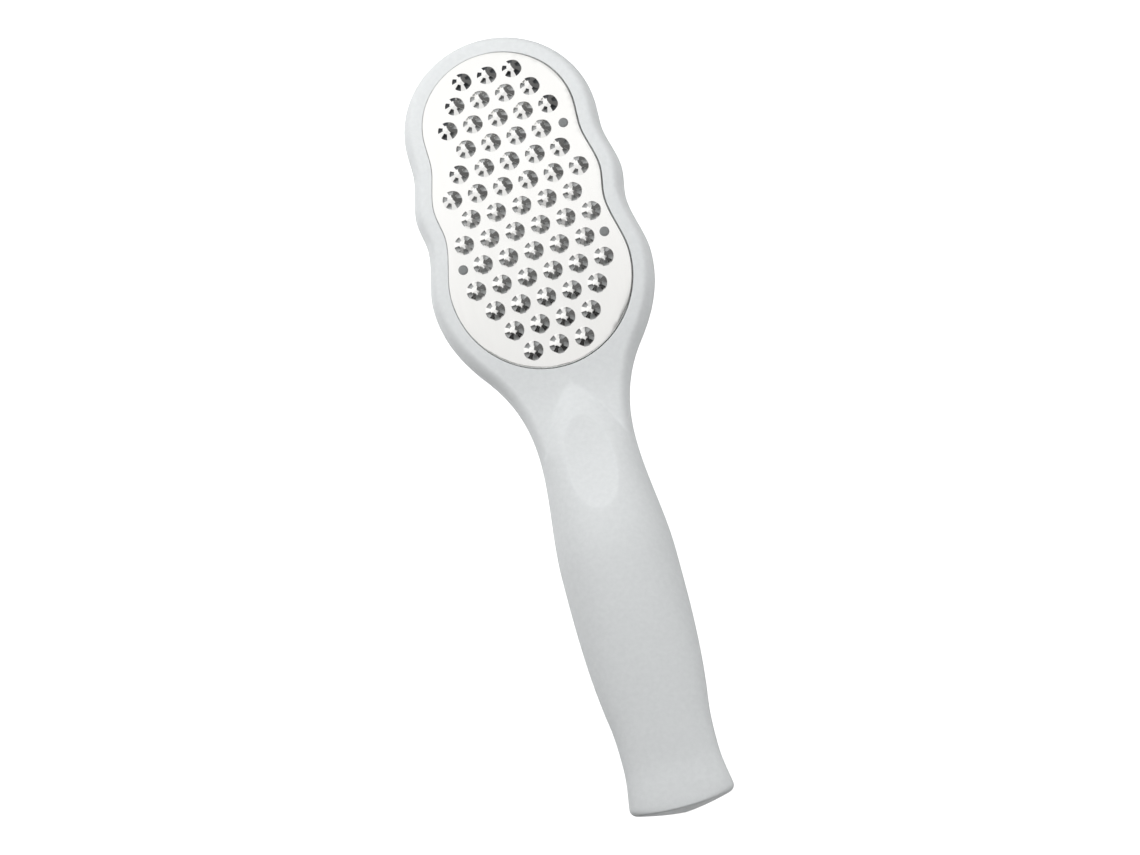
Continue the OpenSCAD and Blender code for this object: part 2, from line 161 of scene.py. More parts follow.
# %% Curves through stations
def hermite(a, b, y):
    """A smooth stretch between two stations."""
    span = b[0] - a[0]
    t = (y - a[0]) / span
    u = 1 - t
    ends = a[1] * u * u * (1 + 2 * t) + b[1] * t * t * (3 - 2 * t)
    return ends + span * t * u * (a[2] * u - b[2] * t)


def along(stations, y):
    """A smooth curve through all the stations, level beyond the first and the last."""
    y = np.clip(np.asarray(y, float), stations[-1][0], stations[0][0])
    out = np.zeros_like(y)
    for a, b in zip(stations, stations[1:]):
        part = (y <= a[0]) & (y >= b[0])
        out[part] = hermite(a, b, y[part])
    return out


def ease(t):
    """A soft start and a soft stop between 0 and 1."""
    t = np.clip(t, 0, 1)
    return t * t * (3 - 2 * t)


# %% Widths along the body
WIDTHS = [
    (TIP_LOBE_AT, TIP_R, 0),
    (head_place(UPPER_WAIST_SHARE), UPPER_WAIST_W / 2, 0),
    (head_place(MID_LOBE_SHARE), MID_LOBE_W / 2, 0),
    (head_place(LOWER_WAIST_SHARE), LOWER_WAIST_W / 2, 0),
    (-WIDE_LOBE_AT, WIDE_W / 2, 0),
    (-SHOULDER_AT, (NECK_W + (WIDE_W - NECK_W) * SHOULDER_W_SHARE) / 2,
     SHOULDER_SLOPE * mean_slope(WIDE_W, NECK_W, NECK_AT - WIDE_LOBE_AT)),
    (-NECK_AT, NECK_W / 2, 0),
    (-GRIP_AT, GRIP_W / 2, 0),
    (-TAPER_AT, (WAIST_W + (GRIP_W - WAIST_W) * TAPER_W_SHARE) / 2,
     TAPER_SLOPE * mean_slope(GRIP_W, WAIST_W, GRIP_WAIST_AT - GRIP_AT)),
    (-GRIP_WAIST_AT, WAIST_W / 2, 0),
    (-BUTT_AT, BUTT_W / 2, mean_slope(WAIST_W, BUTT_W, BUTT_AT - GRIP_WAIST_AT)),
]


def half_width(y):
    """Half the body's width: a round tip, then the lobes, neck, grip and butt."""
    y = np.asarray(y, float)
    tip = np.sqrt(np.clip(TIP_R ** 2 - (y - TIP_LOBE_AT) ** 2, 0, None))
    return np.where(y > TIP_LOBE_AT, tip, along(WIDTHS, y))


print("width over the middle lobes:", round(2 * float(half_width(head_place(MID_LOBE_SHARE))), 1))


# %% Heights along the body
def crown_z(y):
    """The height of the crowned rasp face."""
    y = np.asarray(y, float)
    return HEAD_T - CROWN_R + np.sqrt(CROWN_R ** 2 - y * y)


POCKET_SLOPE = POCKET_AT / math.sqrt(CROWN_R ** 2 - POCKET_AT ** 2)
LEVEL_RUN = (NECK_AT - POCKET_AT) / 2


def rim_z(y):
    """The height of the rim band, which follows the crown and levels out over the neck."""
    run = np.clip(-np.asarray(y, float) - POCKET_AT, 0, LEVEL_RUN)
    fall = POCKET_SLOPE * run * (1 - run / LEVEL_RUN / 2)
    return crown_z(np.maximum(y, -POCKET_AT)) - PLATE_PROUD - fall


TONGUE_Z = float(rim_z(-CREST_AT))
TONGUE_SLOPE = (GRIP_H - TONGUE_Z) / (GRIP_AT - CREST_AT)
CRESTS = [
    (-CREST_AT, TONGUE_Z, -TONGUE_SLOPE),
    (-GRIP_AT, GRIP_H, 0),
    (-GRIP_WAIST_AT, WAIST_H, 0),
    (-BUTT_AT, BUTT_H, 0),
]
SIDES = [
    (TIP_Y, NECK_SIDE_H, 0),
    (0, HEAD_SIDE_H, 0),
    (-NECK_AT, NECK_SIDE_H, 0),
    (-BUTT_AT, BUTT_SIDE_H, 0),
]
print("the tongue's tip lies", round(CREST_AT, 1), "mm from the plate's middle")

# %% [markdown]
# ## A net of points seen from above
# Both halves of the body are heights over the same outline, so both use one net of points. Round
# the head the net runs in rays from the outline to the edge of the plate's pocket, and down the
# handle in rows from side to side. The rows start on the foot of the pocket and straighten out
# over the neck, so no face is ever squeezed, and the points crowd together at the outline, where
# the surface turns down steeply. The gap round the plate is drawn narrower than the CAD's clearance
# and the pocket's foot a little longer, because the photograph shows them so.

# %% Rays of the head
SEEN_GAP = 0.15
BAND = RIM_W - SEEN_GAP
POCKET_TIP_R = TIP_R - BAND
POCKET_FOOT_R = WIDE_W / 2 - BAND
FOOT_DROP = 0.6
RINGS = 30
LAST_TURN = math.radians(45)
LAST_RAY_AT = 48
TIP_RAYS = 36
LOBE_RAYS = 44
FOOT_RAYS = 24

both_edges = (1 - np.cos(np.linspace(0, math.pi, RINGS + 1))) / 2
one_edge = 1 - np.cos(np.linspace(0, math.pi / 2, RINGS + 1))


def ray(outer, inner, shares):
    """Points from the outline to the pocket, or to the middle of the handle."""
    outer = np.asarray(outer, float)
    inner = np.asarray(inner, float)
    return outer + (inner - outer) * shares[:, None]


def foot_point(turn, radius=POCKET_FOOT_R, drop=FOOT_DROP):
    """A point on the pocket's slightly long foot, turned from its right side downwards."""
    return (radius * math.cos(turn), -WIDE_LOBE_AT - (radius + drop) * math.sin(turn))


def from_foot_middle(plan, radius, drop):
    """How far points lie from the foot's middle, as if the foot were round."""
    offset = (plan - (0, -WIDE_LOBE_AT)) * (1, radius / (radius + drop))
    return np.linalg.norm(offset, axis=-1)


def outline_point(y):
    """The right-hand point of the outline at a place along the tool."""
    return (float(half_width(y)), y)


right_rays = []
for turn in np.linspace(math.pi / 2, 0, TIP_RAYS + 1):
    way = np.array((math.cos(turn), math.sin(turn)))
    middle = np.array((0, TIP_LOBE_AT))
    right_rays.append(ray(middle + way * TIP_R, middle + way * POCKET_TIP_R, both_edges))
for y in np.linspace(TIP_LOBE_AT, -WIDE_LOBE_AT, LOBE_RAYS + 1)[1:]:
    edge = float(half_width(y))
    right_rays.append(ray((edge, y), (edge - BAND, y), both_edges))
for share in np.linspace(0, 1, FOOT_RAYS + 1)[1:]:
    outer = outline_point(-WIDE_LOBE_AT - (LAST_RAY_AT - WIDE_LOBE_AT) * share)
    right_rays.append(ray(outer, foot_point(LAST_TURN * share), both_edges))
MIRROR = np.array((-1, 1))
head_net = np.array([r * MIRROR for r in right_rays[:0:-1]] + right_rays)
print("rays round the head:", len(head_net))

# %% Rows of the handle
MIDDLE_COLUMNS = 68
NECK_ROW_AT = 60
NECK_ROWS = 40
DISH_END_AT = 96
FINE_ROW = 0.42
COARSE_ROW = 1.0
NECK_ROW_POWER = 1.6
CORNER_R = 2
BUTT_EDGE_R = WALL / 4
CORNER_ROWS = 10
END_ROWS = 12

cross = np.linspace(-1, 1, MIDDLE_COLUMNS + 1)
pocket_foot = np.array([
    foot_point(math.pi / 2 - (math.pi / 2 - LAST_TURN) * c) for c in cross
])


def full_row(outer, middle, shares):
    """A row from the left outline, over the middle points, to the right outline."""
    right = ray(outer, middle[-1], shares)[::-1]
    left = right[::-1] * MIRROR
    return np.concatenate((left[:-1], middle, right[1:]))


def straight_row(y, drawn_in=0.0):
    """A row straight across the handle."""
    edge = float(half_width(y)) - drawn_in
    middle = np.stack((cross * (edge - BAND), np.full_like(cross, y)), 1)
    return full_row((edge, y), middle, one_edge)


handle_rows = []
row_drops = []
row_turns = []
for i in range(NECK_ROWS + 1):
    t = (i / NECK_ROWS) ** NECK_ROW_POWER
    target = straight_row(-NECK_ROW_AT)[RINGS:-RINGS]
    middle = pocket_foot + (target - pocket_foot) * t
    outer = outline_point(-LAST_RAY_AT - (NECK_ROW_AT - LAST_RAY_AT) * t)
    handle_rows.append(full_row(outer, middle, both_edges + (one_edge - both_edges) * t))
    row_drops.append(0)
fine = np.arange(-NECK_ROW_AT - FINE_ROW, -DISH_END_AT, -FINE_ROW)
coarse = np.linspace(-DISH_END_AT, -BUTT_AT + CORNER_R, int((BUTT_AT - DISH_END_AT) / COARSE_ROW))
for y in np.concatenate((fine, coarse)):
    handle_rows.append(straight_row(y))
    row_drops.append(0)
for i in range(1, CORNER_ROWS + 1):
    turn = math.pi / 2 * i / CORNER_ROWS
    drop = CORNER_R * (1 - math.cos(turn))
    handle_rows.append(straight_row(-BUTT_AT + CORNER_R * (1 - math.sin(turn)), drop))
    row_drops.append(drop)
    row_turns.append(turn)
handle_net = np.array(handle_rows)
row_drops = np.array(row_drops)[:, None]
edge_rest = np.clip(BUTT_EDGE_R - (BUTT_AT + handle_net[:, :1, 1]), 0, BUTT_EDGE_R)
row_cuts = BUTT_EDGE_R - np.sqrt(BUTT_EDGE_R ** 2 - edge_rest ** 2)
print("rows down the handle:", len(handle_net), "of", handle_net.shape[1], "points")

# %% [markdown]
# ## Heights of the two halves
# The front is the higher of two forms: the flat-topped head and neck, whose edge is rounded over
# the whole rim, and the round crest of the handle, which comes out of the neck as a pointed tongue.
# A soft maximum joins them, so the crease between them has the small radius of a mould. The thumb
# dish is scooped out by a sphere with a soft minimum. The back is flat under the head and runs
# into a keel under the handle.

# %% Distance from the outline
OUTLINE_POINTS = 420
TIP_POINTS = 60

edge_y = np.linspace(TIP_LOBE_AT, -BUTT_AT, OUTLINE_POINTS)
edge_y = np.concatenate((edge_y, [-BUTT_AT - WALL]))
edge_turn = np.linspace(math.pi / 2, 0, TIP_POINTS)[:-1]
edge_line = np.concatenate((
    np.stack((TIP_R * np.cos(edge_turn), TIP_LOBE_AT + TIP_R * np.sin(edge_turn)), 1),
    np.stack((half_width(edge_y), edge_y), 1),
))


def inside(plan):
    """How far each point lies inside the outline."""
    p = np.abs(plan.reshape(-1, 2) * (1, 0)) + plan.reshape(-1, 2) * (0, 1)
    best = np.full(len(p), np.inf)
    for a, b in zip(edge_line, edge_line[1:]):
        way = b - a
        t = np.clip((p - a) @ way / (way @ way), 0, 1)
        best = np.minimum(best, ((p - a - t[:, None] * way) ** 2).sum(1))
    return np.sqrt(best).reshape(plan.shape[:-1])


head_inside = inside(head_net)
handle_inside = inside(handle_net)
print("greatest distance inside the handle's outline:", round(float(handle_inside.max()), 1))

# %% The front's height
RIM_ROUND = 3.3
CREASE_SOFT = 0.35
TONGUE_TIP = 0.25
TONGUE_POWER = 1.5
DISH_SOFT = 0.09
DISH_AT = 77.2
DISH_L = 28.6
DISH_W = 14.2
LIP_R = 0.2


def round_off(d, r):
    """The share of its height that a rounded edge has reached, a distance d inside it."""
    u = 1 - np.clip(d / r, 0, 1)
    return np.sqrt(1 - u * u)


def soft_max(a, b, soft):
    """The greater of two heights, with a small radius where they cross."""
    near = np.clip(soft - np.abs(a - b), 0, None) / soft
    return np.maximum(a, b) + near * near * soft / 4


# %% The thumb dish
dish_crest = float(along(CRESTS, -DISH_AT))
dish_top_z = float(along(CRESTS, -DISH_AT + DISH_L / 2))
dish_foot_z = float(along(CRESTS, -DISH_AT - DISH_L / 2))
dish_chord = math.hypot(DISH_L, dish_foot_z - dish_top_z)
dish_hump = dish_crest - (dish_top_z + dish_foot_z) / 2
across_r = float(half_width(-DISH_AT)) ** 2 / (dish_crest - float(along(SIDES, -DISH_AT)))
dish_r = (dish_chord ** 2 - DISH_W ** 2) / (DISH_W ** 2 / across_r - 8 * dish_hump)
dish_lift = math.sqrt(dish_r ** 2 - dish_chord ** 2 / 4)
dish_rise = math.atan((dish_foot_z - dish_top_z) / DISH_L)
dish_y = -DISH_AT + dish_lift * math.sin(dish_rise)
dish_z = (dish_top_z + dish_foot_z) / 2 + dish_lift * math.cos(dish_rise)
dish_depth = dish_hump + dish_r - dish_lift
print("thumb dish:", round(dish_depth, 2), "mm deep, sphere of", round(dish_r, 1), "mm")


# %% The front's skin
def crest_half(y):
    """Half the width of the crest, which runs out over the neck as a narrowing tongue."""
    q = np.clip((y + NECK_AT) / (NECK_AT - CREST_AT), 0, 1)
    return half_width(y) * (1 - (1 - TONGUE_TIP) * q ** TONGUE_POWER)


def front_height(plan, d, drop):
    """The height of the front shell's skin."""
    x, y = plan[..., 0], plan[..., 1]
    low = along(SIDES, y)
    u = np.clip(np.abs(x) / np.maximum(crest_half(y) - drop, WALL), 0, 1)
    flat = (rim_z(y) - low) * round_off(d, RIM_ROUND)
    crest_z = along(CRESTS, y) - TONGUE_SLOPE * np.clip(y + CREST_AT, 0, None)
    crest = (crest_z - low) * np.sqrt(1 - u * u)
    z = low + np.clip(soft_max(flat, crest, CREASE_SOFT * ease(d / WALL) + TINY), 0, None)
    scoop = dish_z - np.sqrt(np.clip(dish_r ** 2 - x * x - (y - dish_y) ** 2, 0, None))
    return np.where(np.abs(y + DISH_AT) < DISH_L, -soft_max(-z, -scoop, DISH_SOFT), z)


# %% The back's height, the seam and the butt
BACK_ROUND = WALL * 2
KEEL_ROUND = 2
KEEL_V = 1.05
SEAM_W = 0.12
SEAM_H = 0.35


def keel_share(u, y):
    """The keel's section: round under the grip, nearly a straight-sided V at the butt."""
    t = ease((-y - GRIP_AT) / (GRIP_WAIST_AT - GRIP_AT))
    power = KEEL_ROUND + (KEEL_V - KEEL_ROUND) * t
    return 1 - t * u ** power - (1 - t) * (1 - (1 - u ** power) ** (1 / power))


def back_height(plan, d, drop):
    """The height of the back shell's skin."""
    x, y = plan[..., 0], plan[..., 1]
    low = along(SIDES, y)
    u = np.clip(np.abs(x) / np.maximum(half_width(y) - drop, WALL), 0, 1)
    t = ease((-y - CREST_AT) / (GRIP_AT - CREST_AT))
    return low - low * ((1 - t) * round_off(d, BACK_ROUND) + t * keel_share(u, y))


def at_butt(points):
    """Leans the butt's end face out towards the keel, and bulges it in plan."""
    x, y, z = points[..., 0], points[..., 1], points[..., 2]
    t = ease((-y - GRIP_WAIST_AT) / (BUTT_AT - GRIP_WAIST_AT))
    u = 2 * x / BUTT_W
    moved = points.copy()
    moved[..., 1] = y - t * (BUTT_LEAN * (1 - z / BUTT_H) - BUTT_BULGE * u * u)
    return moved


def seam_pull(z, low):
    """How far the skin is drawn in beside the line where the two shells meet."""
    return SEAM_W * np.clip(1 - np.abs(z - low) / SEAM_H, 0, 1) ** 2


def raised(plan, z, middle):
    """Points in space from a net and its heights, with the seam drawn in towards the middle."""
    low = along(SIDES, plan[..., 1])
    way = middle - plan
    way = way / np.maximum(np.linalg.norm(way, axis=-1, keepdims=True), TINY)
    moved = plan + way * seam_pull(z, low)[..., None]
    return np.concatenate((moved, z[..., None]), -1)


# %% [markdown]
# ## From nets to a mesh
# A mesh needs points and faces. The helper below gathers nets of points, joins each net's
# neighbours into four-sided faces, and welds the nets where they share an edge. Solidify then
# gives the skin the wall thickness of a moulding, so the piece is a closed solid.

# %% Mesh helpers
MERGE = 0.002
BODY_SHARP = 35


class Skin:
    """Points and faces of one piece, in millimetres about the plate's middle."""

    def __init__(self):
        self.points = []
        self.faces = []

    def add_points(self, points):
        """Adds points and returns their numbers in the same arrangement."""
        flat = points.reshape(-1, 3)
        first = sum(len(p) for p in self.points)
        self.points.append(flat)
        return np.arange(first, first + len(flat)).reshape(points.shape[:-1])

    def add_net(self, points, flip=False):
        """Adds a net, whose faces look up where its rows run down and its columns right."""
        n = self.add_points(points)
        quads = np.stack((n[:-1, :-1], n[1:, :-1], n[1:, 1:], n[:-1, 1:]), -1).reshape(-1, 4)
        self.faces += (quads[:, ::-1] if flip else quads).tolist()
        return n

    def make(self, name):
        """A mesh object in the frame, welded."""
        points = (np.concatenate(self.points) - (0, CENTRE_Y, 0)) * MM
        mesh = bpy.data.meshes.new(name)
        mesh.from_pydata(points.tolist(), [], self.faces)
        made = bmesh.new()
        made.from_mesh(mesh)
        bmesh.ops.remove_doubles(made, verts=made.verts, dist=MERGE * MM)
        bmesh.ops.dissolve_degenerate(made, edges=made.edges, dist=MERGE * MM / 2)
        made.to_mesh(mesh)
        made.free()
        return put_in_scene(name, mesh)


# %% Plain mesh and walls
def settle(piece, sharp_angle):
    """Turns a piece's modifiers into plain mesh, and shades it smooth up to a sharp angle."""
    evaluated = piece.evaluated_get(bpy.context.evaluated_depsgraph_get())
    mesh = bpy.data.meshes.new_from_object(evaluated)
    piece.modifiers.clear()
    piece.data = mesh
    mesh.shade_smooth()
    mesh.set_sharp_from_angle(angle=math.radians(sharp_angle))
    triangles = sum(len(p.vertices) - 2 for p in mesh.polygons)
    print(piece.name, "has", triangles, "triangles")


def thicken(piece, thickness):
    """Gives a skin a wall on its inner side."""
    solidify = piece.modifiers.new("wall", "SOLIDIFY")
    solidify.thickness = thickness * MM
    solidify.offset = -1


# %% [markdown]
# ## The front shell
# It is a moulding with a pocket for the plate. The pocket's edge has a small rounded lip, its wall
# goes straight down, and its floor follows the crown. The butt ends in a face that falls to the
# line where the shells meet.

# %% Front shell
FLOOR_DROP = SHEET_T + CARRIER_T


def half_loop_ladder(skin, left, right, flip=False):
    """Fills a mirrored loop with a ladder of faces from its left half to its right half."""
    skin.add_net(np.stack((left, right), 1), flip)


def lip_drop(e):
    """How far the rounded lip lies below the rim, a distance e outside the pocket."""
    rest = np.clip(LIP_R - e, 0, LIP_R)
    return LIP_R - np.sqrt(LIP_R ** 2 - rest ** 2)


def butt_rows(last_plan, top, steps):
    """Rows of the butt's end face, from its rounded edge to the line between the shells."""
    low = along(SIDES, last_plan[:, 1])
    shares = np.sin(np.linspace(0, math.pi / 2, steps + 1))[:, None]
    z = top + (low - top) * shares
    y = last_plan[:, 1] + seam_pull(z, low)
    return np.stack((np.broadcast_to(last_plan[:, 0], z.shape), y, z), -1)


def edge_cut(z, plan, reach):
    """Rounds the edge of the butt's end face."""
    low = along(SIDES, plan[..., 1])
    return z - row_cuts * (z - low) / reach


def half_nets(head_z, handle_z, reach):
    """One half's points over the head and down the handle, which share the row where they meet."""
    head = raised(head_net, head_z, head_middle)
    handle_z = edge_cut(handle_z, handle_net, reach)
    handle = raised(handle_net, handle_z, handle_middle)
    handle[0, :RINGS + 1] = head[0]
    handle[0, -RINGS - 1:] = head[-1][::-1]
    end = butt_rows(handle_net[-1], handle_z[-1], END_ROWS)
    return head, at_butt(np.concatenate((handle[:-1], end)))


def pocket_edge(head, handle):
    """The right half of the loop round the pocket, from the tip down to the foot."""
    foot = handle[0, RINGS:-RINGS][MIDDLE_COLUMNS // 2:-1]
    return np.concatenate((head[len(head) // 2:, -1], foot[::-1]))


# %% The front's points
head_middle = np.repeat(head_net[:, -1:], head_net.shape[1], 1)
handle_middle = handle_net * (0, 1)
for i, turn in enumerate(row_turns):
    row = handle_net[i - CORNER_ROWS]
    sideways = -np.sign(row[:, 0]) * math.cos(turn)
    handle_middle[i - CORNER_ROWS] = row + np.stack((sideways, sideways * 0 + math.sin(turn)), 1)
head_z = front_height(head_net, head_inside, 0)
head_z -= lip_drop(np.linalg.norm(head_net - head_middle, axis=-1))
handle_z = front_height(handle_net, handle_inside, row_drops)
from_foot = from_foot_middle(handle_net, POCKET_FOOT_R, FOOT_DROP) - POCKET_FOOT_R
on_foot = np.abs(handle_net[..., 0]) <= foot_point(LAST_TURN)[0] + PLATE_GAP
neck_lip = np.where(on_foot & (handle_net[..., 1] > -NECK_ROW_AT), lip_drop(from_foot), 0)
front_head, front_handle = half_nets(head_z, handle_z - neck_lip, BUTT_H - BUTT_SIDE_H)
front = Skin()
front.add_net(front_head.swapaxes(0, 1))
front.add_net(front_handle)
print("front shell:", front_head.shape[:2], "and", front_handle.shape[:2], "points")

# %% The plate's pocket
MIRROR_SPACE = (-1, 1, 1)

pocket_right = pocket_edge(front_head, front_handle)
pocket_left = pocket_right * MIRROR_SPACE


def pocket_depth(points, share):
    """The pocket's wall, a share of the way down to its floor."""
    deep = points.copy()
    floor = crown_z(points[:, 1]) - FLOOR_DROP
    deep[:, 2] = points[:, 2] + (floor - points[:, 2]) * share
    return deep


WALL_STEPS = 3
wall_shares = np.linspace(0, 1, WALL_STEPS + 1)
front.add_net(np.array([pocket_depth(pocket_right, s) for s in wall_shares]))
front.add_net(np.array([pocket_depth(pocket_left, s) for s in wall_shares]), flip=True)
half_loop_ladder(front, pocket_depth(pocket_left, 1), pocket_depth(pocket_right, 1))
front_piece = front.make("body_front_shell")
thicken(front_piece, WALL)
settle(front_piece, BODY_SHARP)

# %% [markdown]
# ## The back shell
# The back uses the same net with its own heights, and its faces turned over, since it looks down.
# Under the plate a ladder of faces closes the flat resting place.

# %% Back shell
back_head, back_handle = half_nets(
    back_height(head_net, head_inside, 0),
    back_height(handle_net, handle_inside, row_drops),
    BUTT_SIDE_H,
)
back = Skin()
back.add_net(back_head.swapaxes(0, 1), flip=True)
back.add_net(back_handle, flip=True)
rest_right = pocket_edge(back_head, back_handle)
half_loop_ladder(back, rest_right * MIRROR_SPACE, rest_right, flip=True)
back_piece = back.make("body_back_shell")
thicken(back_piece, WALL)
settle(back_piece, BODY_SHARP)

# %% [markdown]
# ## The sheet of the rasp plate
# The plate is stamped from thin stainless sheet: crowned along its length, turned down at its edge,
# and punched into studs. The sheet between the studs is one smooth surface with round holes, which
# a constrained Delaunay triangulation makes from the outline, the rings of the holes and a net of
# points between them. Each hole has as many points as the foot of a stud, so the studs weld in.
# The plate's foot is slightly long and rolls down, and the plate sits a hair left in its pocket.

# %% Sizes of the plate
PLATE_TIP_R = TIP_R - RIM_W
PLATE_FOOT_R = WIDE_W / 2 - RIM_W
PLATE_FOOT_DROP = 0.45
EDGE_R = 0.25
SKIRT_H = 1.6
ROLL_R = 1.2
ROLL_W = 0.85
EASE_R = 20.0
EASE_W = 2.6
ROLL_FROM = 0.2
ROLL_RUN = 0.5
PLATE_SHARP = 40
PLATE_PLAY = np.array((-0.06, 0.0))
STUD_PITCH = 7.5
ROW_STEP = 6.94
STUD_MARGIN = 4.2
STUD_R = 5.5 / 2
HUB_R = 2.7 / 2
STUD_TOP_R = 1.6 / 2
ARM_W = 1.2
ARMS = 5
ARM_STEPS = 4
OPENING_STEPS = 5
FOOT_R = STUD_R + SHEET_T
PIN_MARGIN = 4.3
PIN_HEAD_D = 2.8
PIN_HOLE_R = 2.1 / 2
PIN_SEATS = ((3, 1), (-2, 1), (-2, -1))
ROW_TURN = ROW_STEP / CROWN_R
STUD_ROWS = 6
print("each row leans", round(math.degrees(ROW_TURN), 2), "degrees from the last")

# %% The plate's outline and its rolled foot
TIP_STEPS = 30
LOBE_STEPS = 40
FOOT_STEPS = 34


def plate_half(y, inset=0.0):
    """Half the plate's width at a place along it."""
    y = np.asarray(y, float)
    foot_r = PLATE_FOOT_R - inset
    down = (y + WIDE_LOBE_AT) * foot_r / (foot_r + PLATE_FOOT_DROP)
    foot = np.sqrt(np.clip(foot_r ** 2 - down ** 2, 0, None))
    tip = np.sqrt(np.clip((PLATE_TIP_R - inset) ** 2 - (y - TIP_LOBE_AT) ** 2, 0, None))
    lobes = half_width(y) - RIM_W - inset
    return np.where(y < -WIDE_LOBE_AT, foot, np.where(y > TIP_LOBE_AT, tip, lobes))


def plate_loop(inset):
    """The plate's outline as a closed loop, drawn in by a distance."""
    tip_r = PLATE_TIP_R - inset
    foot_r = PLATE_FOOT_R - inset
    right = []
    for i in range(TIP_STEPS):
        turn = math.pi / 2 * (1 - i / TIP_STEPS)
        right.append((tip_r * math.cos(turn), TIP_LOBE_AT + tip_r * math.sin(turn)))
    for y in np.linspace(TIP_LOBE_AT, -WIDE_LOBE_AT, LOBE_STEPS + 1):
        right.append((float(plate_half(y, inset)), y))
    for i in range(1, FOOT_STEPS + 1):
        right.append(foot_point(math.pi / 2 * i / FOOT_STEPS, foot_r, PLATE_FOOT_DROP))
    return np.array(right + [(-x, y) for x, y in right[-2:0:-1]]) + PLATE_PLAY


def foot_roll(plan):
    """How far the plate's edge is rolled down at its foot."""
    out = from_foot_middle(plan, PLATE_FOOT_R, PLATE_FOOT_DROP)
    turned = -(plan[:, 1] + WIDE_LOBE_AT) / np.maximum(out, 1)
    share = np.clip((turned - ROLL_FROM) / ROLL_RUN, 0, 1)
    eased = np.clip(out - PLATE_FOOT_R + EASE_W, 0, EASE_W) * share
    rolled = np.clip(out - PLATE_FOOT_R + ROLL_W, 0, ROLL_W) * share
    return eased ** 2 / (2 * EASE_R) + ROLL_R - np.sqrt(ROLL_R ** 2 - rolled ** 2)


def on_crown(plan, depth=0.0):
    """Lays flat points on the crowned face, a depth below it."""
    z = crown_z(plan[:, 1]) - foot_roll(plan) - depth
    return np.concatenate((plan, z[:, None]), 1)


# %% Places of the studs and pins
def row_y(i):
    """How far a row lies from the plate's middle."""
    return CROWN_R * math.sin(i * ROW_TURN)


def pin_x(i):
    """How far a pin in this row lies from the plate's middle line."""
    return float(half_width(row_y(i))) - RIM_W - PIN_MARGIN


stud_places = []
for i in range(-STUD_ROWS, STUD_ROWS + 1):
    odd = 0 if i % 2 == 0 else 0.5
    reach = math.floor((float(plate_half(row_y(i))) - STUD_MARGIN) / STUD_PITCH - odd)
    for step in range(int(2 * (reach + odd)) + 1):
        x = (step - reach - odd) * STUD_PITCH
        room = (STUD_R * 2 + PIN_HEAD_D) / 2 + SHEET_T
        if all(p[0] != i or abs(x - p[1] * pin_x(i)) >= room for p in PIN_SEATS):
            stud_places.append((i, x))
print("studs:", len(stud_places))


def on_row(i, local):
    """Carries points from a row's own flat place to the row's place on the crown."""
    turn = i * ROW_TURN
    x, y, z = local[:, 0], local[:, 1], local[:, 2]
    high = z + CROWN_R
    return np.stack((
        x,
        y * math.cos(turn) + high * math.sin(turn),
        high * math.cos(turn) - y * math.sin(turn) + HEAD_T - CROWN_R,
    ), 1)


# %% Rings of the holes
PIN_STEPS = 24

arm_turn = ARM_W / (STUD_R + HUB_R) * 2
opening_turn = 2 * math.pi / ARMS - arm_turn
stud_turns = []
for k in range(ARMS):
    start = k * 2 * math.pi / ARMS - opening_turn / 2
    stud_turns += [start + opening_turn * i / OPENING_STEPS for i in range(OPENING_STEPS)]
    stud_turns += [start + opening_turn + arm_turn * i / ARM_STEPS for i in range(ARM_STEPS)]
stud_turns = np.array(stud_turns)


def stud_spin(i):
    """Studs on the tip's side of the plate are turned half round from the others."""
    return math.pi / 2 if i > 0 else -math.pi / 2


def hole_ring(i, x, r, turns):
    """The edge of a round hole in the sheet."""
    flat = np.stack((x + r * np.cos(turns), r * np.sin(turns), turns * 0), 1)
    return on_row(i, flat)


rings_3d = [hole_ring(i, x, FOOT_R, stud_turns + stud_spin(i)) for i, x in stud_places]
pin_turns = np.linspace(0, 2 * math.pi, PIN_STEPS, endpoint=False)
rings_3d += [hole_ring(i, side * pin_x(i), PIN_HOLE_R, pin_turns) for i, side in PIN_SEATS]
loops = [on_crown(plate_loop(EDGE_R))] + rings_3d
centres = np.array([ring[:, :2].mean(0) for ring in rings_3d])
radii = np.array([FOOT_R] * len(stud_places) + [PIN_HOLE_R] * len(PIN_SEATS))


def clear_of_holes(p, margin):
    """True for points that lie outside every hole, with a margin."""
    away = np.linalg.norm(p[:, None] - centres[None], axis=-1) - radii
    return away.min(1) > margin


print("holes for studs and pins:", len(rings_3d))

# %% Points between the holes
NET_STEP = 1.5
NET_ROW = NET_STEP * 0.87
NET_FOOT = -48
NET_TIP = 50
NET_SIDE = 40
EDGE_ROOM = NET_STEP * 0.4
HOLE_ROOM = 0.35

between = []
for j, y in enumerate(np.arange(NET_FOOT, NET_TIP, NET_ROW)):
    half = float(plate_half(y, EDGE_R + EDGE_ROOM))
    xs = np.arange(-NET_SIDE, NET_SIDE, NET_STEP) + (j % 2) * NET_STEP / 2
    between += [(x, y) for x in xs if abs(x) < half]
between = np.array(between)
between = between[clear_of_holes(between, HOLE_ROOM)]
print("points between the holes:", len(between))

# %% Triangles of the sheet
HOLE_PLAY = 0.005
EDGE_PLAY = 0.001

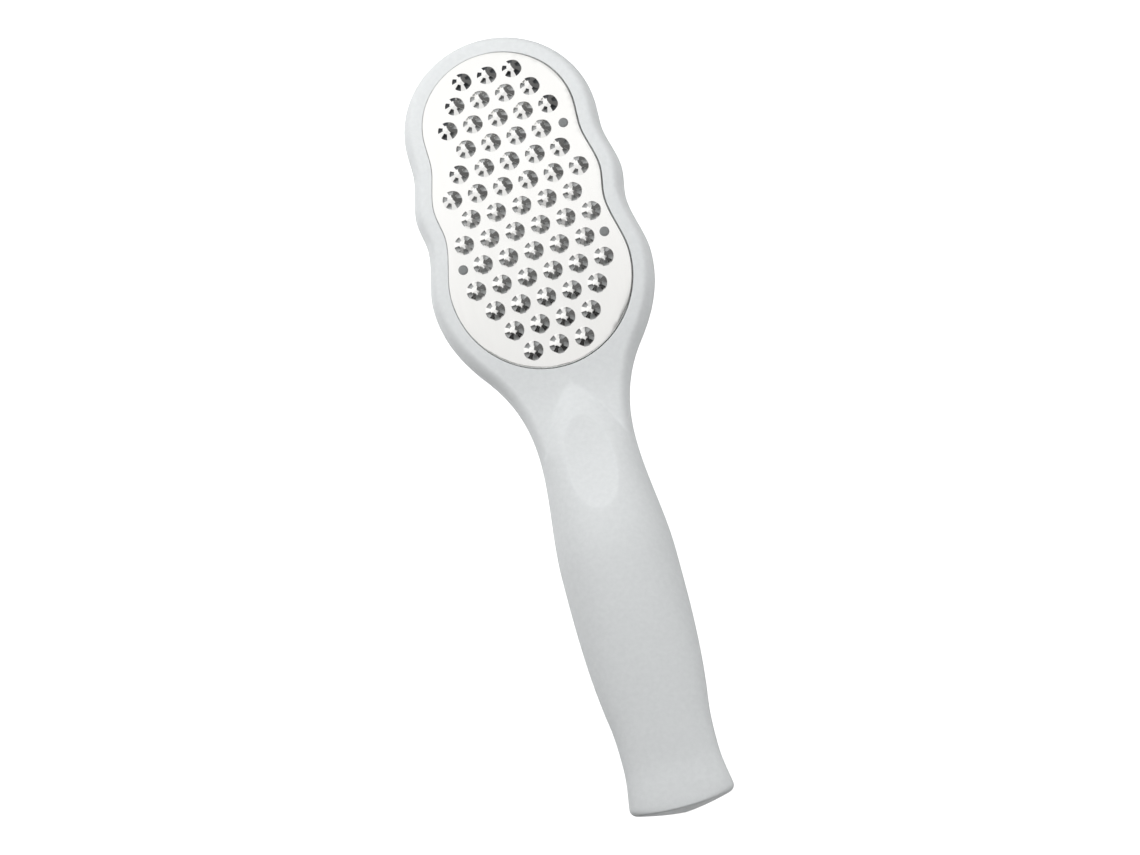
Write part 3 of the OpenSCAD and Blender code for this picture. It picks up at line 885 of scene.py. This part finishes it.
nodes_3d = np.concatenate(loops + [on_crown(between)])
flat_edges = []
first = 0
for loop in loops:
    count = len(loop)
    flat_edges += [(first + k, first + (k + 1) % count) for k in range(count)]
    first += count
flat_points = [Vector(p[:2]) for p in nodes_3d]
cut = delaunay_2d_cdt(flat_points, flat_edges, [], 0, TINY)
cut_xy = np.array([(p.x, p.y) for p in cut[0]])
cut_3d = nodes_3d[[sources[0] for sources in cut[3]]]
triangles = np.array([f for f in cut[2] if len(f) == 3])
middles = cut_xy[triangles].mean(1)
on_plate = middles - PLATE_PLAY
keep = clear_of_holes(middles, -HOLE_PLAY) & (
    np.abs(on_plate[:, 0]) < plate_half(on_plate[:, 1], EDGE_R + EDGE_PLAY)
)
sheet_faces = triangles[keep]
corner = cut_xy[sheet_faces]
turned = np.cross(corner[:, 1] - corner[:, 0], corner[:, 2] - corner[:, 0]) < 0
sheet_faces[turned] = sheet_faces[turned][:, ::-1]
print("sheet between the studs:", len(sheet_faces), "triangles")

# %% The turned-down edge
EDGE_STEPS = 6

sheet = Skin()
numbers = sheet.add_points(cut_3d)
sheet.faces += numbers[sheet_faces].tolist()
edge_rows = []
for step in range(EDGE_STEPS + 1):
    turn = math.pi / 2 * step / EDGE_STEPS
    inset = EDGE_R * (1 - math.sin(turn))
    depth = EDGE_R * (1 - math.cos(turn))
    edge_rows.append(on_crown(plate_loop(inset), depth))
skirt = plate_loop(0)
edge_rows.append(on_crown(skirt, SKIRT_H - foot_roll(skirt)))
edge_net = np.array(edge_rows)
sheet.add_net(np.concatenate((edge_net, edge_net[:, :1]), 1), flip=True)
sheet_piece = sheet.make("rasp_plate_sheet")
print("turned-down edge:", len(edge_net), "loops of", edge_net.shape[1], "points")

# %% [markdown]
# ## One stud
# A punch pushes the sheet up into a hollow pyramid and tears five openings round it, which leaves
# five flat arms that meet in a small round tip. One stud is made as rings of points round its
# axis: the foot flows out of the sheet, the arms climb, and the openings are faces left out.

# %% The stud's rings
OPENING_R = STUD_R + 0.06
FACE_SLOPE = 0.62
TOP_DOME = 0.2
foot_rings = [(FOOT_R, 0.0), (STUD_R + 0.25, 0.004), (OPENING_R, 0.012), (2.66, 0.07)]
arm_rings = [2.35, 1.95, 1.6, HUB_R]
hub_rings = [1.05, STUD_TOP_R, 0.5, 0.25]
OPENING_FIRST = 2
OPENING_LAST = len(foot_rings) + len(arm_rings) - 1


def stud_height(r, turn):
    """The height of a stud's five flat faces, which each follow one arm, and of its round tip."""
    share = 2 * math.pi / ARMS
    off_arm = (turn % share) - share / 2
    out = r * math.cos(off_arm)
    if out > STUD_TOP_R:
        return (STUD_R - out) * FACE_SLOPE
    return (STUD_R - STUD_TOP_R) * FACE_SLOPE + TOP_DOME * (1 - (out / STUD_TOP_R) ** 2)


def ring_point(r, turn, z):
    """A point from its radius, turn and height."""
    return (r * math.cos(turn), r * math.sin(turn), z)


stud = Skin()
profile = [[ring_point(r, a, z) for a in stud_turns] for r, z in foot_rings]
for r in arm_rings + hub_rings:
    profile.append([ring_point(r, a, stud_height(r, a)) for a in stud_turns])
rings = stud.add_points(np.array(profile)).tolist()
top = int(stud.add_points(np.array([ring_point(0, 0, stud_height(0, 0))]))[0])
around = len(stud_turns)
for ring, (lower, upper) in enumerate(zip(rings, rings[1:])):
    for a in range(around):
        b = (a + 1) % around
        opening_here = a % (OPENING_STEPS + ARM_STEPS) < OPENING_STEPS
        if not (opening_here and OPENING_FIRST <= ring < OPENING_LAST):
            stud.faces.append([lower[a], lower[b], upper[b], upper[a]])
for a in range(around):
    stud.faces.append([rings[-1][a], rings[-1][(a + 1) % around], top])
stud_mesh = bpy.data.meshes.new("stud_pattern")
stud_mesh.from_pydata((np.concatenate(stud.points) * MM).tolist(), [], stud.faces)
stud_pattern = put_in_scene("stud_pattern", stud_mesh)
print("one stud has", len(stud_mesh.polygons), "faces")

# %% [markdown]
# ## Sixty-one studs by Geometry Nodes
# The studs stand in rows along the crown, so a node tree places them. It gets one point for each
# stud, which carries its row number and its place across the row. The tree bends the rows round the
# crown's axis, spins each stud the way its half of the plate needs, and puts the stud on its point.

# %% Finishes to be filled in later
plate_steel = bpy.data.materials.new("polished_stainless_sheet")

# %% The node tree
def new_tree(name, inputs):
    """An empty Geometry Nodes tree with a geometry socket at each end and the named inputs."""
    tree = bpy.data.node_groups.new(name, "GeometryNodeTree")
    tree.interface.new_socket("Geometry", in_out="INPUT", socket_type="NodeSocketGeometry")
    tree.interface.new_socket("Geometry", in_out="OUTPUT", socket_type="NodeSocketGeometry")
    for label, kind in inputs:
        tree.interface.new_socket(label, in_out="INPUT", socket_type=kind)
    return tree, tree.nodes.new("NodeGroupInput"), tree.nodes.new("NodeGroupOutput")


def feed(tree, socket, value):
    """Joins an input to a socket, or sets it to a value."""
    if isinstance(value, bpy.types.NodeSocket):
        tree.links.new(value, socket)
    else:
        socket.default_value = value


def add_node(tree, kind, **inputs):
    """A new node, whose inputs are fed by their names."""
    node = tree.nodes.new(kind)
    for label, value in inputs.items():
        feed(tree, node.inputs[label.replace("_", " ")], value)
    return node


def math_node(tree, operation, a, b=None):
    """One step of arithmetic in a tree, on sockets or numbers."""
    step = tree.nodes.new("ShaderNodeMath")
    step.operation = operation
    feed(tree, step.inputs[0], a)
    if b is not None:
        feed(tree, step.inputs[1], b)
    return step.outputs[0]


def times(tree, a, b):
    """The product of two sockets or numbers."""
    return math_node(tree, "MULTIPLY", a, b)


# %% A tree that bends rows of points round the crown
stud_tree, tree_in, tree_out = new_tree("studs_on_crown", (
    ("Stud", "NodeSocketObject"),
    ("Row Turn", "NodeSocketFloat"),
    ("Crown Radius", "NodeSocketFloat"),
    ("Head Height", "NodeSocketFloat"),
    ("Steel", "NodeSocketMaterial"),
))
row_field = add_node(stud_tree, "GeometryNodeInputNamedAttribute", Name="row")
across_field = add_node(stud_tree, "GeometryNodeInputNamedAttribute", Name="across")
row_value = row_field.outputs["Attribute"]
radius = tree_in.outputs["Crown Radius"]
turn_value = times(stud_tree, row_value, tree_in.outputs["Row Turn"])
y_value = times(stud_tree, math_node(stud_tree, "SINE", turn_value), radius)
rise = times(stud_tree, math_node(stud_tree, "COSINE", turn_value), radius)
sunk = math_node(stud_tree, "SUBTRACT", tree_in.outputs["Head Height"], radius)
position = add_node(
    stud_tree, "ShaderNodeCombineXYZ",
    X=across_field.outputs["Attribute"],
    Y=math_node(stud_tree, "SUBTRACT", y_value, CENTRE_Y * MM),
    Z=math_node(stud_tree, "ADD", rise, sunk),
)
place_studs = add_node(
    stud_tree, "GeometryNodeSetPosition",
    Geometry=tree_in.outputs["Geometry"],
    Position=position.outputs["Vector"],
)

# %% The spin of each stud, and the end of the tree
def turn_about(tree, **angle):
    """A rotation about one axis."""
    euler = add_node(tree, "ShaderNodeCombineXYZ", **angle)
    turn = add_node(tree, "FunctionNodeEulerToRotation", Euler=euler.outputs["Vector"])
    return turn.outputs["Rotation"]


tip_side = math_node(stud_tree, "GREATER_THAN", row_value, 0.5)
half_turn = math_node(stud_tree, "SUBTRACT", tip_side, 0.5)
both_turns = add_node(
    stud_tree, "FunctionNodeRotateRotation",
    Rotation=turn_about(stud_tree, X=times(stud_tree, turn_value, -1.0)),
    Rotate_By=turn_about(stud_tree, Z=times(stud_tree, half_turn, math.pi)),
)
both_turns.rotation_space = "LOCAL"
stud_info = add_node(stud_tree, "GeometryNodeObjectInfo", Object=tree_in.outputs["Stud"])
put = add_node(
    stud_tree, "GeometryNodeInstanceOnPoints",
    Points=place_studs.outputs["Geometry"],
    Instance=stud_info.outputs["Geometry"],
    Rotation=both_turns.outputs["Rotation"],
)
realize = add_node(
    stud_tree, "GeometryNodeRealizeInstances", Geometry=put.outputs["Instances"])
paint = add_node(
    stud_tree, "GeometryNodeSetMaterial",
    Geometry=realize.outputs["Geometry"],
    Material=tree_in.outputs["Steel"],
)
stud_tree.links.new(paint.outputs["Geometry"], tree_out.inputs["Geometry"])
print("the tree of the studs has", len(stud_tree.nodes), "nodes")

# %% Studs on the plate
seed_mesh = bpy.data.meshes.new("stud_seeds")
seed_mesh.from_pydata([(0, 0, 0)] * len(stud_places), [], [])
for label, column in (("row", 0), ("across", 1)):
    values = [place[column] * (MM if label == "across" else 1) for place in stud_places]
    seed_mesh.attributes.new(label, "FLOAT", "POINT").data.foreach_set("value", values)
seeds = put_in_scene("stud_seeds", seed_mesh)


def set_inputs(modifier, values):
    """Sets a tree's inputs by their identifiers."""
    for item in modifier.node_group.interface.items_tree:
        if item.item_type == "SOCKET" and item.in_out == "INPUT" and item.name in values:
            modifier[item.identifier] = values[item.name]


studding = seeds.modifiers.new("studs", "NODES")
studding.node_group = stud_tree
set_inputs(studding, {
    "Stud": stud_pattern,
    "Row Turn": ROW_TURN,
    "Crown Radius": CROWN_R * MM,
    "Head Height": HEAD_T * MM,
    "Steel": plate_steel,
})
evaluated = seeds.evaluated_get(bpy.context.evaluated_depsgraph_get())
studs_mesh = bpy.data.meshes.new_from_object(evaluated)
print("all studs:", len(studs_mesh.polygons), "faces")

# %% One plate of sheet and studs
STUD_MERGE = 0.02

welded = bmesh.new()
welded.from_mesh(sheet_piece.data)
welded.from_mesh(studs_mesh)
before = len(welded.verts)
bmesh.ops.remove_doubles(welded, verts=welded.verts, dist=STUD_MERGE * MM)
print("welded", before - len(welded.verts), "points of", len(stud_places) * around)
plate_mesh = bpy.data.meshes.new("rasp_plate_sheet")
welded.to_mesh(plate_mesh)
welded.free()
bpy.data.objects.remove(sheet_piece)
bpy.data.objects.remove(seeds)
bpy.data.objects.remove(stud_pattern)
plate_piece = put_in_scene("studded_rasp_plate", plate_mesh)
thicken(plate_piece, SHEET_T)
settle(plate_piece, PLATE_SHARP)

# %% [markdown]
# ## Finishes
# Every finish is a small tree of nodes on Object coordinates, so its pattern sits still on the
# piece. The body is a cool, nearly white plastic with the fine sparkle of a spark-eroded mould; the
# plate is polished stainless steel with the faintest waves of rolling; the carrier is a mid-grey
# plastic with painted shade along the border of its tip end, which darkens the openings there;
# the pins are dull, turned steel.

# %% Helpers for finishes
MARKS_LOW = 0.3
MARKS_HIGH = 0.7


def clear_tree(owner):
    """Turns on the nodes of a material or the world, and empties them."""
    owner.use_nodes = True
    owner.node_tree.nodes.clear()
    return owner.node_tree


def finish_tree(material):
    """Clears a material and gives back its tree, its shader and its Object coordinates."""
    tree = clear_tree(material)
    shader = tree.nodes.new("ShaderNodeBsdfPrincipled")
    add_node(tree, "ShaderNodeOutputMaterial", Surface=shader.outputs["BSDF"])
    print("finish:", material.name)
    return tree, shader, tree.nodes.new("ShaderNodeTexCoord").outputs["Object"]


def grain(tree, coords, size, detail=2.0, stretch=(1, 1, 1)):
    """Noise whose marks are about the given size in millimetres."""
    mapping = add_node(tree, "ShaderNodeMapping", Vector=coords, Scale=stretch)
    noise = add_node(
        tree, "ShaderNodeTexNoise",
        Vector=mapping.outputs["Vector"],
        Scale=1 / (size * MM),
        Detail=detail,
    )
    return noise.outputs["Fac"]


def two_tone(tree, marks, dark, light):
    """A colour that runs from dark to light with the marks."""
    ramp = add_node(tree, "ShaderNodeValToRGB", Fac=marks)
    low, high = ramp.color_ramp.elements
    low.position, low.color = MARKS_LOW, (*dark, 1)
    high.position, high.color = MARKS_HIGH, (*light, 1)
    return ramp.outputs["Color"]


def soft_step(tree, value, start, end, low=0.0, high=1.0, kind="SMOOTHSTEP"):
    """Runs from low to high as a value goes from start to end."""
    step = add_node(
        tree, "ShaderNodeMapRange", Value=value,
        From_Min=start, From_Max=end, To_Min=low, To_Max=high,
    )
    step.interpolation_type = kind
    return step.outputs["Result"]


def lay_on(tree, shader, marks, colour, smooth, rough):
    """Gives a shader its colour, and a roughness that follows the marks."""
    tree.links.new(colour, shader.inputs["Base Color"])
    roughness = soft_step(tree, marks, MARKS_LOW, MARKS_HIGH, smooth, rough, "LINEAR")
    tree.links.new(roughness, shader.inputs["Roughness"])


def relief(tree, shader, height, depth, strength):
    """Bumps of a depth in millimetres."""
    bump = add_node(
        tree, "ShaderNodeBump", Height=height, Distance=depth * MM, Strength=strength)
    tree.links.new(bump.outputs["Normal"], shader.inputs["Normal"])


# %% Body plastic
body_plastic = bpy.data.materials.new("eroded_white_plastic")
tree, shader, coords = finish_tree(body_plastic)
mottle = grain(tree, coords, size=1.3, detail=3.0)
cool_white = two_tone(tree, mottle, dark=(0.725, 0.745, 0.75), light=(0.765, 0.785, 0.79))
lay_on(tree, shader, mottle, cool_white, smooth=0.5, rough=0.58)
shader.inputs["Specular IOR Level"].default_value = 0.35
relief(tree, shader, grain(tree, coords, size=0.5, detail=3.0), depth=0.05, strength=0.5)

# %% Plate steel
tree, shader, coords = finish_tree(plate_steel)
rolling = grain(tree, coords, size=1.2, detail=3.0, stretch=(1, 0.08, 1))
warm_steel = two_tone(tree, rolling, dark=(0.93, 0.925, 0.905), light=(0.95, 0.945, 0.925))
lay_on(tree, shader, rolling, warm_steel, smooth=0.14, rough=0.17)
shader.inputs["Metallic"].default_value = 1.0
relief(tree, shader, grain(tree, coords, size=6.0, detail=1.0), depth=0.01, strength=0.2)

# %% Carrier
# Painted shade: the carrier's colour darkens near the border of its tip end, which darkens the
# openings there.
SHADE_BORDER_FROM = 12 * MM
SHADE_BORDER_TO = 15.5 * MM
SHADE_TIP_END_FROM = -16 * MM
SHADE_TIP_END_TO = -8 * MM
CARRIER_PAINTED_SHADE = (0.07, 0.075, 0.08, 1)

carrier_plastic = bpy.data.materials.new("grey_carrier_plastic_painted_shade")
tree, shader, coords = finish_tree(carrier_plastic)
speckle = grain(tree, coords, size=0.6)
greys = two_tone(tree, speckle, dark=(0.54, 0.55, 0.55), light=(0.6, 0.61, 0.61))
spot = add_node(tree, "ShaderNodeSeparateXYZ", Vector=coords)
past_lobe = math_node(tree, "SUBTRACT", spot.outputs["Y"], (TIP_LOBE_AT - CENTRE_Y) * MM)
run = math_node(tree, "MAXIMUM", past_lobe, 0.0)
across = spot.outputs["X"]
squares = math_node(tree, "ADD", times(tree, across, across), times(tree, run, run))
# The mask of the painted shade, near the border of the tip end.
border = soft_step(tree, math_node(tree, "SQRT", squares), SHADE_BORDER_FROM, SHADE_BORDER_TO)
tip_end = soft_step(tree, past_lobe, SHADE_TIP_END_FROM, SHADE_TIP_END_TO)
# Mixes the painted shade colour into the carrier's greys.
shade = tree.nodes.new("ShaderNodeMix")
shade.data_type = "RGBA"
feed(tree, shade.inputs["Factor"], times(tree, border, tip_end))
feed(tree, shade.inputs[6], greys)
feed(tree, shade.inputs[7], CARRIER_PAINTED_SHADE)
lay_on(tree, shader, speckle, shade.outputs[2], smooth=0.5, rough=0.62)
relief(tree, shader, speckle, depth=0.02, strength=0.4)

# %% Pins
pin_steel = bpy.data.materials.new("dull_pin_steel")
tree, shader, coords = finish_tree(pin_steel)
turning = grain(tree, coords, size=0.35)
dull_grey = two_tone(tree, turning, dark=(0.2, 0.21, 0.21), light=(0.29, 0.3, 0.3))
lay_on(tree, shader, turning, dull_grey, smooth=0.45, rough=0.6)
shader.inputs["Metallic"].default_value = 0.4
relief(tree, shader, turning, depth=0.01, strength=0.4)


# %% Dressing the pieces
def dress(piece, material):
    """Gives a whole piece one finish."""
    piece.data.materials.clear()
    piece.data.materials.append(material)


dress(front_piece, body_plastic)
dress(back_piece, body_plastic)
dress(plate_piece, plate_steel)
for name, material in (("plate_carrier", carrier_plastic), ("plate_pins", pin_steel)):
    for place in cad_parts[name].material_slots:
        place.material = material
    print(name, "wears", material.name)

for piece, node_name, slot_name in (
    (front_piece, "front_shell", "body_plastic"),
    (back_piece, "back_shell", "body_plastic"),
    (plate_piece, "rasp_plate", "plate_steel"),
):
    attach(piece, "root")
    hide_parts(node_name)
    print(piece.name, "stands for", node_name)

# %% [markdown]
# ## Light and floor
# Plain, soft studio light: a faint even surrounding and three large soft lamps. The strongest
# stands beyond the tip on the left, a weak one lights the head's right rim, and one fills the
# handle from the right. Polished steel shows its surroundings, and the photograph's studs show a
# bright tent that is dim on the right and ends low on the butt's side, so glossy rays see those
# parts dim. The camera sees plain white.

# %% Floor
FLOOR_SIZE = 6.0
FLOOR_LOW = 0.02
FLOOR_GLOW = 0.85

floor_corners = [(-1, -1), (1, -1), (1, 1), (-1, 1)]
floor_mesh = bpy.data.meshes.new("studio_floor")
floor_mesh.from_pydata(
    [(x * FLOOR_SIZE, y * FLOOR_SIZE, -FLOOR_LOW * MM) for x, y in floor_corners],
    [], [(0, 1, 2, 3)])
floor = put_in_scene("studio_floor", floor_mesh)
floor.visible_glossy = False
floor_white = bpy.data.materials.new("floor_white")
tree = clear_tree(floor_white)
light_path = tree.nodes.new("ShaderNodeLightPath")
matte = add_node(tree, "ShaderNodeBsdfDiffuse", Color=(0.8, 0.8, 0.8, 1))
glow_strength = times(tree, light_path.outputs["Is Camera Ray"], FLOOR_GLOW)
glow = add_node(tree, "ShaderNodeEmission", Strength=glow_strength)
both = tree.nodes.new("ShaderNodeAddShader")
feed(tree, both.inputs[0], matte.outputs["BSDF"])
feed(tree, both.inputs[1], glow.outputs["Emission"])
add_node(tree, "ShaderNodeOutputMaterial", Surface=both.outputs["Shader"])
floor.data.materials.append(floor_white)
print("floor of", FLOOR_SIZE * 2, "m,", FLOOR_LOW, "mm under the file")

# %% World
TENT = 0.06

world = bpy.data.worlds.new("studio_tent")
bpy.context.scene.world = world
tree = clear_tree(world)
light_path = tree.nodes.new("ShaderNodeLightPath")
way = tree.nodes.new("ShaderNodeTexCoord")
parts = add_node(tree, "ShaderNodeSeparateXYZ", Vector=way.outputs["Generated"])
rightward, tipward, upward = (parts.outputs[axis] for axis in "XYZ")

# Each step below runs over a part of a ray's direction, from -1 to 1.
below = soft_step(tree, upward, 0.52, 0.7, low=1.0, high=0.0)
over_floor = soft_step(tree, upward, 0.18, 0.34)
butt_side = soft_step(tree, tipward, -0.5, -0.25, low=0.98, high=0.0)
butt_dim = times(tree, times(tree, below, over_floor), butt_side)
opening = math_node(tree, "SUBTRACT", 1.0, butt_dim)
tip_glow = soft_step(tree, tipward, -0.05, 0.45, low=0.9, high=1.1)
slantwise = math_node(
    tree, "ADD", times(tree, rightward, 0.94), times(tree, tipward, 0.26))
right_side = soft_step(tree, slantwise, 0.17, 0.4, high=0.87)
before_butt = soft_step(tree, tipward, -0.65, -0.45, low=0.2)
right_dim = math_node(tree, "SUBTRACT", 1.0, times(tree, right_side, before_butt))
seen_by_steel = times(tree, times(tree, opening, tip_glow), right_dim)
by_ray = add_node(
    tree, "ShaderNodeMix",
    Factor=light_path.outputs["Is Glossy Ray"], A=TENT, B=seen_by_steel,
)
by_camera = add_node(
    tree, "ShaderNodeMix",
    Factor=light_path.outputs["Is Camera Ray"], A=by_ray.outputs["Result"], B=1.0,
)
background = add_node(
    tree, "ShaderNodeBackground",
    Color=(1, 1, 1, 1), Strength=by_camera.outputs["Result"],
)
add_node(tree, "ShaderNodeOutputWorld", Surface=background.outputs["Background"])
print("the tent lights the file at", TENT)

# %% Lamps
LAMP_SIZE = 0.4


def soft_lamp(name, place, power):
    """A square soft lamp that looks at the middle of the file."""
    data = bpy.data.lights.new(name, "AREA")
    data.shape = "SQUARE"
    data.size = LAMP_SIZE
    data.energy = power
    lamp = put_in_scene(name, data)
    lamp.location = place
    lamp.rotation_euler = (-Vector(place)).to_track_quat("-Z", "Y").to_euler()
    lamp.visible_glossy = False
    print(name, "at", place, "with", power, "W")


soft_lamp("head_lamp", (-0.28, 0.28, 0.4), 2.55)
soft_lamp("rim_lamp", (0.3, 0.25, 0.35), 0.75)
soft_lamp("handle_lamp", (0.5, -0.1, 0.45), 1.5)

bpy.context.scene.view_settings.view_transform = "Standard"
